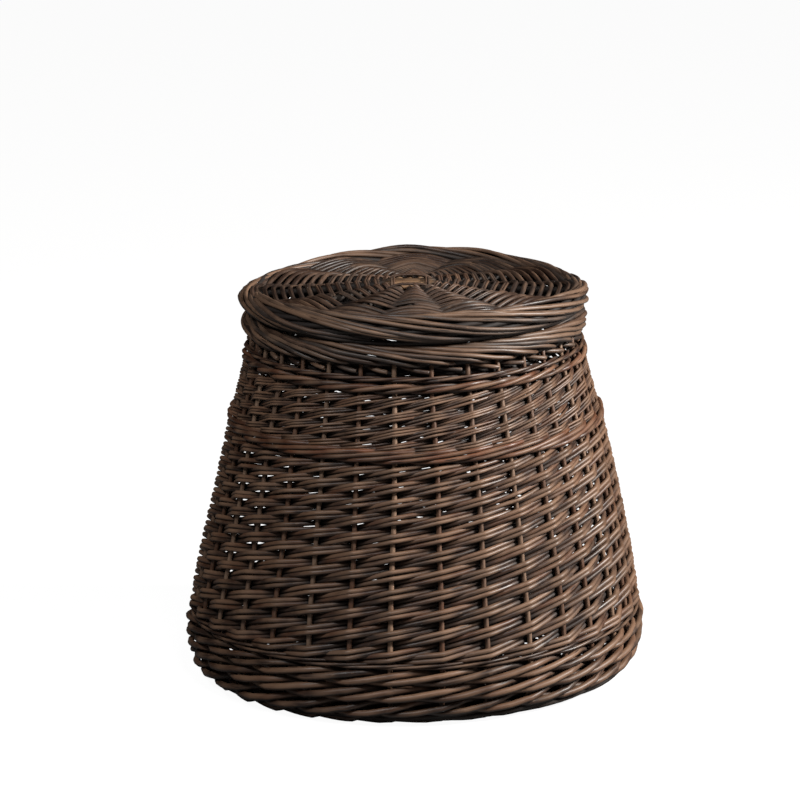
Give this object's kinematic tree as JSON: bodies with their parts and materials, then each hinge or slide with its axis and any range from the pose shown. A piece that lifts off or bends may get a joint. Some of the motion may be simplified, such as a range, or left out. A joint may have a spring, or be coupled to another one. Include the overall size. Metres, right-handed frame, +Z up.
{
  "type": "lidded laundry basket",
  "caption": "Round laundry basket of dark willow rods, widest near the floor and drawn in towards a rolled rim, with a loose, slightly domed woven lid that lifts straight off.",
  "frame": {"origin": "on the floor under the middle of the basket", "axes": "+Z up; the round basket's axis is Z; the side seen in the picture faces -Y, and the lid's three pierced sticks lie along X"},
  "size_m": [0.5002, 0.5002, 0.431],
  "materials": {
    "stake_willow": "stained dark brown, satin",
    "weave_willow": "stained dark brown, satin",
    "wale_willow": "stained reddish brown, satin",
    "border_willow": "stained dark brown, satin",
    "lid_willow": "stained brown, satin",
    "stick_willow": "stained tan brown, satin"
  },
  "bodies": {
    "basket": {"side_stake_01": "stake_willow", "side_stake_02": "stake_willow", "side_stake_03": "stake_willow", "side_stake_04": "stake_willow", "side_stake_05": "stake_willow", "side_stake_06": "stake_willow", "side_stake_07": "stake_willow", "side_stake_08": "stake_willow", "side_stake_09": "stake_willow", "side_stake_10": "stake_willow", "side_stake_11": "stake_willow", "side_stake_12": "stake_willow", "side_stake_13": "stake_willow", "side_stake_14": "stake_willow", "side_stake_15": "stake_willow", "side_stake_16": "stake_willow", "side_stake_17": "stake_willow", "side_stake_18": "stake_willow", "side_stake_19": "stake_willow", "side_stake_20": "stake_willow", "side_stake_21": "stake_willow", "side_stake_22": "stake_willow", "side_stake_23": "stake_willow", "side_stake_24": "stake_willow", "side_stake_25": "stake_willow", "side_stake_26": "stake_willow", "side_stake_27": "stake_willow", "side_stake_28": "stake_willow", "side_stake_29": "stake_willow", "side_stake_30": "stake_willow", "side_stake_31": "stake_willow", "side_stake_32": "stake_willow", "base_pierced_stick_1": "stick_willow", "base_through_stick_1": "stick_willow", "base_pierced_stick_2": "stick_willow", "base_through_stick_2": "stick_willow", "base_pierced_stick_3": "stick_willow", "base_through_stick_3": "stick_willow", "base_pierced_stick_4": "stick_willow", "base_through_stick_4": "stick_willow", "base_weave": "weave_willow", "foot_wale": "weave_willow", "lower_siding": "weave_willow", "mid_wale": "wale_willow", "upper_siding": "weave_willow", "top_wale": "wale_willow", "rim_border": "border_willow"},
    "lid": {"lid_pierced_stick_1": "stick_willow", "lid_through_stick_1": "stick_willow", "lid_pierced_stick_2": "stick_willow", "lid_through_stick_2": "stick_willow", "lid_pierced_stick_3": "stick_willow", "lid_through_stick_3": "stick_willow", "lid_centre_weave": "lid_willow", "lid_outer_weave": "lid_willow", "lid_border": "border_willow"}
  },
  "joints": [
    {"name": "lid_lift", "type": "slide", "parent": "basket", "child": "lid", "axis": [0, 0, 1], "range_m": [0, 0.36]}
  ]
}
